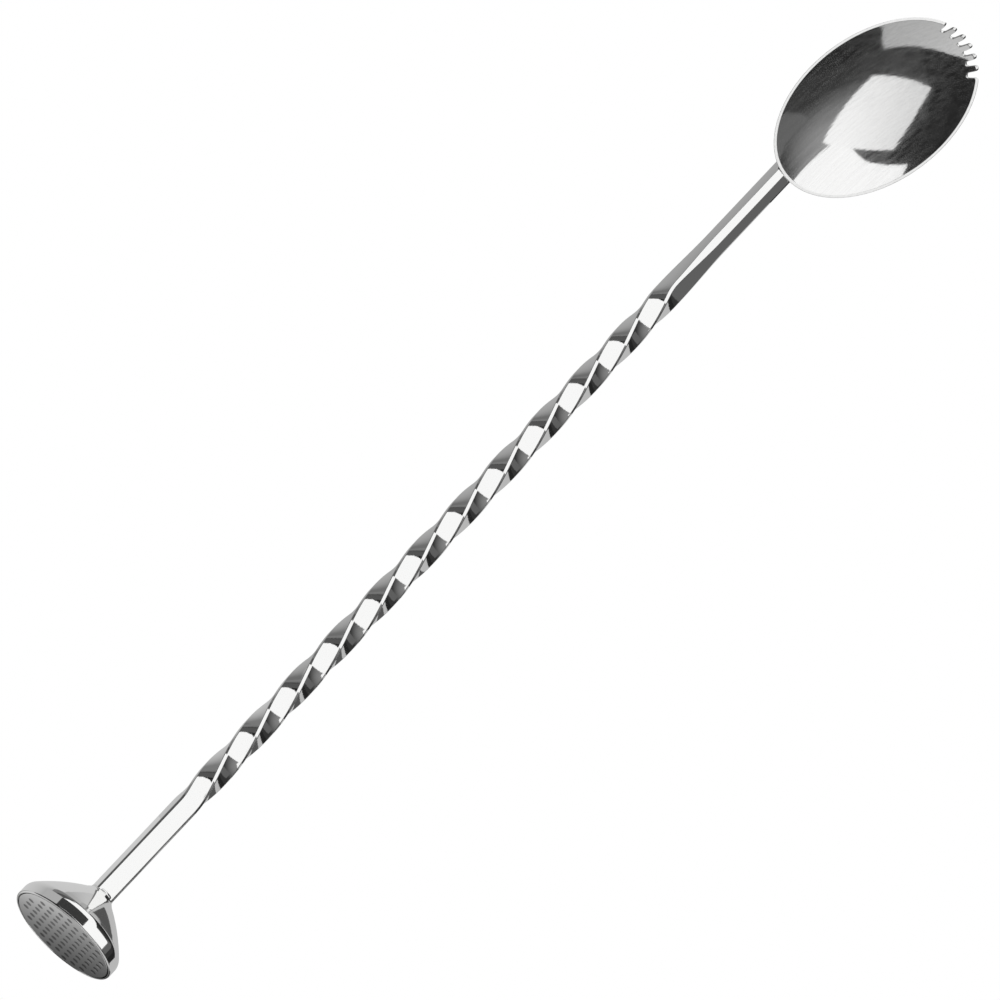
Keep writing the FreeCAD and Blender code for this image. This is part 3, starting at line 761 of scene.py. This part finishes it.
# Directions from the spoon's middle, in the spoon's axes, to the corners of the cards.
KEY = (
    (-0.04, -0.16, 0.99),
    (0.97, -0.12, 0.2),
    (0.97, 0.2, 0.1),
    (0.755, 0.655, -0.03),
    (0.38, 0.89, 0.25),
    (0.1, 0.93, 0.33),
    (-0.13, 0.86, 0.49),
    (-0.075, 0.683, 0.727),
    (-0.035, 0.453, 0.891),
    (-0.062, 0.176, 0.982),
)
TOP = ((0.12, -0.28, 0.95), (-0.25, 0.59, 0.77), (-0.8, 0.07, 0.6), (-0.4, -0.66, 0.635))
WINDOW = (
    (-0.167, -0.986, 0.023),
    (-0.379, -0.879, 0.29),
    (-0.7, -0.643, 0.31),
    (-0.912, -0.332, 0.24),
    (-1.0, 0.03, 0.0),
    (-0.9, 0.0, -0.4),
    (-0.2, -0.9, -0.4),
)
SIDE_WALL = ((0.15, -0.7, 0.68), (0.6, -0.6, 0.52), (0.62, -0.75, 0.25), (0.2, -0.87, 0.45))
FAR_WALL = ((-0.1, 0.98, 0.2), (0.9, 0.4, 0.2), (0.9, 0.4, -0.3), (-0.1, 0.98, -0.3))
HALO_CENTRE, HALO_REACH = (0.06, -0.3, 0.95), 0.95
SQUARE = ((-1, -1), (1, -1), (1, 1), (-1, 1))


def emitter(name, strength):
    """A light-giving material of one brightness. Returns it with its emission node and its node tree."""
    material = bpy.data.materials.new(name)
    material.use_nodes = True
    tree = material.node_tree
    tree.nodes.clear()
    glow = tree.nodes.new("ShaderNodeEmission")
    glow.inputs["Strength"].default_value = strength
    output = tree.nodes.new("ShaderNodeOutputMaterial")
    tree.links.new(glow.outputs["Emission"], output.inputs["Surface"])
    return material, glow, tree


def shade_across(glow, tree, start, end, first, last):
    """Brightness that changes smoothly from first at start to last at end, two places in the row frame."""
    place = tree.nodes.new("ShaderNodeTexCoord")
    start, end = np.array(start, float), np.array(end, float)
    run = end - start
    along = tree.nodes.new("ShaderNodeVectorMath")
    along.operation = "DOT_PRODUCT"
    along.inputs[1].default_value = run / (run @ run)
    tree.links.new(place.outputs["Object"], along.inputs[0])
    blend = tree.nodes.new("ShaderNodeMapRange")
    blend.interpolation_type = "SMOOTHSTEP"
    offset = float(start @ run / (run @ run))
    for key, value in (("From Min", offset), ("From Max", offset + 1), ("To Min", first), ("To Max", last)):
        blend.inputs[key].default_value = value
    tree.links.new(along.outputs["Value"], blend.inputs["Value"])
    tree.links.new(blend.outputs["Result"], glow.inputs["Strength"])
    return blend


def stage_plane(name, corners, material, seen=True):
    """A flat piece of the studio. One that isn't seen only shows in reflections."""
    mesh = bpy.data.meshes.new(name)
    mesh.from_pydata([tuple(c) for c in corners], [], [tuple(range(len(corners)))])
    mesh.materials.append(material)
    plane = bpy.data.objects.new(name, mesh)
    bpy.context.scene.collection.objects.link(plane)
    plane.visible_camera = seen
    plane.visible_shadow = seen
    return plane


def sky_card(name, directions, brightness, far_brightness=None, far_corner=2, distance=CARD_DISTANCE):
    """A flat card far off, with its corners in the given directions from the spoon's middle.

    With a far_brightness, the card shades to it from its first corner to far_corner."""
    directions = unit(np.array(directions, float))
    middle = unit(directions.sum(axis=0))
    corners = to_row(directions * (distance / (directions @ middle))[:, None] + (LENGTH / 2, 0, 0))
    material, glow, tree = emitter(name + "_light", brightness)
    if far_brightness is not None:
        shade_across(glow, tree, corners[0], corners[far_corner], brightness, far_brightness)
    return stage_plane(name, corners, material, seen=False)


def halo_card(name, centre, reach, brightness, edge_brightness):
    """A round soft glow on a card behind the others. It fades out at its reach, the tangent of an angle."""
    forward = unit(np.array(centre, float))
    side = unit(np.cross(forward, (1.0, 0.0, 0.0)))
    over = np.cross(side, forward)
    middle = to_row(forward * HALO_DISTANCE + (LENGTH / 2, 0, 0))
    half = HALO_SPREAD * HALO_DISTANCE
    corners = [middle + (side * a + over * b) * half @ TURN.T * MM for a, b in SQUARE]
    material, glow, tree = emitter(name + "_light", brightness)
    place = tree.nodes.new("ShaderNodeTexCoord")
    away = tree.nodes.new("ShaderNodeVectorMath")
    away.operation = "DISTANCE"
    away.inputs[1].default_value = middle
    tree.links.new(place.outputs["Object"], away.inputs[0])
    blend = tree.nodes.new("ShaderNodeMapRange")
    blend.interpolation_type = "SMOOTHSTEP"
    blend.inputs["From Max"].default_value = reach * HALO_DISTANCE * MM
    blend.inputs["To Min"].default_value = brightness
    blend.inputs["To Max"].default_value = edge_brightness
    tree.links.new(away.outputs["Value"], blend.inputs["Value"])
    tree.links.new(blend.outputs["Result"], glow.inputs["Strength"])
    return stage_plane(name, corners, material, seen=False)


def table_patch(name, x_range, y_range, brightness, shade=None, level=TABLE_LEVEL, steady_ratio=False):
    """A patch of the table that only shows in reflections, in the row frame, in mm.

    A shade is where it starts and ends, and the brightness at its end."""
    corners = [(x, y, level) for x, y in zip(np.repeat(x_range, 2), (*y_range, *y_range[::-1]))]
    material, glow, tree = emitter(name + "_light", brightness)
    if shade is not None:
        start, end, other = shade
        blend = shade_across(glow, tree, MM * np.array(start), MM * np.array(end), brightness, other)
        if steady_ratio:
            # Brightness grows by the same ratio over each millimetre.
            blend.interpolation_type = "LINEAR"
            blend.inputs["To Min"].default_value = math.log(brightness)
            blend.inputs["To Max"].default_value = math.log(other)
            power = tree.nodes.new("ShaderNodeMath")
            power.operation = "EXPONENT"
            tree.links.new(blend.outputs["Result"], power.inputs[0])
            tree.links.new(power.outputs["Value"], glow.inputs["Strength"])
    return stage_plane(name, MM * np.array(corners), material, seen=False)


def masher_card(name, x_range, angles, brightness):
    """A card over the masher, between two angles from +Z towards +Y, in degrees, seen only in reflections."""
    turns = np.radians((*angles, *angles[::-1]))
    corners = ring_at(0.0, MASHER_CARD_DISTANCE, turns)
    corners[:, 0] = np.repeat(x_range, 2)
    return stage_plane(name, to_row(corners), emitter(name + "_light", brightness)[0], seen=False)


def make_floor():
    """The white floor. It doesn't show in the steel, where the table patches stand in for it."""
    corners = [(x * FLOOR_REACH, y * FLOOR_REACH, 0) for x, y in SQUARE]
    floor = stage_plane("floor", corners, emitter("floor_white", 1.0)[0])
    floor.visible_glossy = False


def make_room():
    """A dim, even room."""
    world = bpy.data.worlds.new("studio")
    world.use_nodes = True
    background = world.node_tree.nodes["Background"]
    background.inputs["Color"].default_value = (1, 1, 1, 1)
    background.inputs["Strength"].default_value = ROOM_BRIGHTNESS
    bpy.context.scene.world = world


def make_camera():
    """The camera that the picture is taken with."""
    lens = bpy.data.cameras.new("camera")
    lens.lens = LENS
    lens.sensor_width = SENSOR_WIDTH
    lens.clip_start = CLIP_FROM
    lens.clip_end = CLIP_TO
    camera = bpy.data.objects.new("camera", lens)
    bpy.context.scene.collection.objects.link(camera)
    axes = np.stack([CAMERA_RIGHT, -np.array(CAMERA_DOWN), -np.array(CAMERA_FORWARD)], axis=1)
    place = Matrix((TURN @ axes).tolist()).to_4x4()
    place.translation = Vector(to_row(CAMERA_AT))
    camera.matrix_world = place
    bpy.context.scene.camera = camera


make_floor()
make_room()

sky_card("key_light", KEY, 1.0)
sky_card("top_light", TOP, 1.0, far_brightness=0.72)
halo_card("halo", HALO_CENTRE, HALO_REACH, 0.24, edge_brightness=0.035)
sky_card("window", WINDOW, 0.43, far_brightness=0.6, far_corner=4)
sky_card("far_wall", FAR_WALL, 0.09)
sky_card("side_wall", SIDE_WALL, 0.12, distance=WALL_DISTANCE)

# What the spoon's lower faces reflect: a bright table, darker further off on the +Y side and in the shade.
table_patch("table_near_side", (-400, 92), (-500, -1), 0.5)
table_patch("table_far_side", (-139, -104), (-1, 500), 0.62, ((0, 0, 0), (0, 60, 0), 0.4))
table_patch("table_far_next", (-104, -60), (-1, 50), 0.55, ((0, 0, 0), (0, 30, 0), 0.2))
table_patch("table_far_middle", (-60, 400), (-1, 50), 0.42, ((0, 0, 0), (0, 30, 0), 0.16))
table_patch("table_beyond", (-104, 400), (50, 500), 0.2, ((0, 50, 0), (0, 250, 0), 0.05))
# The table before the masher's face is a painted shadow of the masher: darkest next to the face, brighter
# further from it.
face_shade = ((-132.8, -3.3, 0), (-147.65, 3.4, 0), 0.6)
table_patch("table_face_shadow", (-190, -140.5), (-60, 30), 0.035, face_shade, PATCH_LEVEL, steady_ratio=True)
table_patch("table_shade", (-94, -20), (-44, -14), 0.09, level=PATCH_LEVEL)

# Three bands, dark, grey and white, along the side of the masher.
masher_card("band_black", (3, 17), (12.6, 68), 0.04)
masher_card("band_grey", (3, 17), (68, 100), 0.43)
masher_card("band_white", (3, 17), (-38.7, 12.6), 1.0)

make_camera()
bpy.context.scene.view_settings.view_transform = "Standard"
